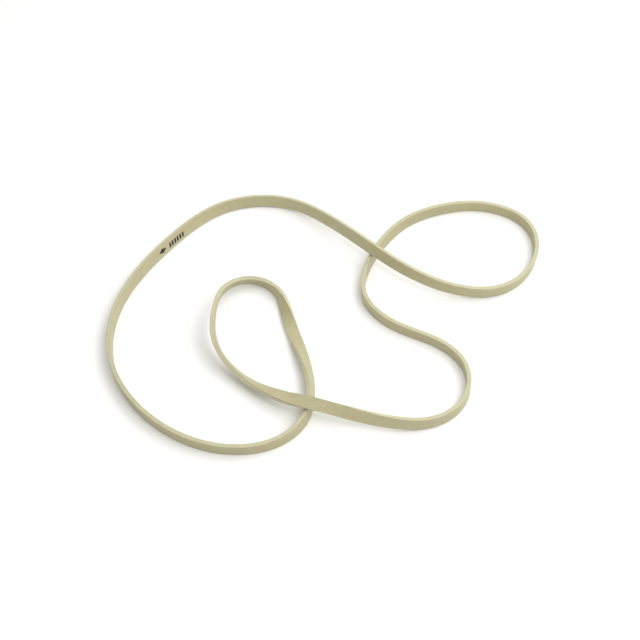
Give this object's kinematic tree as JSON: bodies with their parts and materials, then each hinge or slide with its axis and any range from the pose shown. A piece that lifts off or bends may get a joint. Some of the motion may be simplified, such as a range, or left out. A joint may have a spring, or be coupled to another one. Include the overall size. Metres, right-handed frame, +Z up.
{
  "type": "stretching strap",
  "caption": "Endless flat band of natural latex for stretching and assisted exercise, lying on its edge in open loops that cross twice.",
  "frame": {"origin": "under the middle of the strap's outline, on the surface that it lies on", "axes": "+X along the longest side of the outline, +Y along the other side, +Z up from the surface"},
  "size_m": [0.4672, 0.3458, 0.0283],
  "materials": {
    "latex_face": "satin, faint dusting of talc",
    "latex_core": "matte slit edge",
    "print_ink": "thin matte printed film"
  },
  "bodies": {
    "root": {"ply_1_inner": "latex_face", "ply_2": "latex_core", "ply_3": "latex_core", "ply_4": "latex_core", "ply_5": "latex_core", "ply_6": "latex_core", "ply_7": "latex_core", "ply_8": "latex_core", "ply_9_outer": "latex_face"}
  },
  "joints": []
}
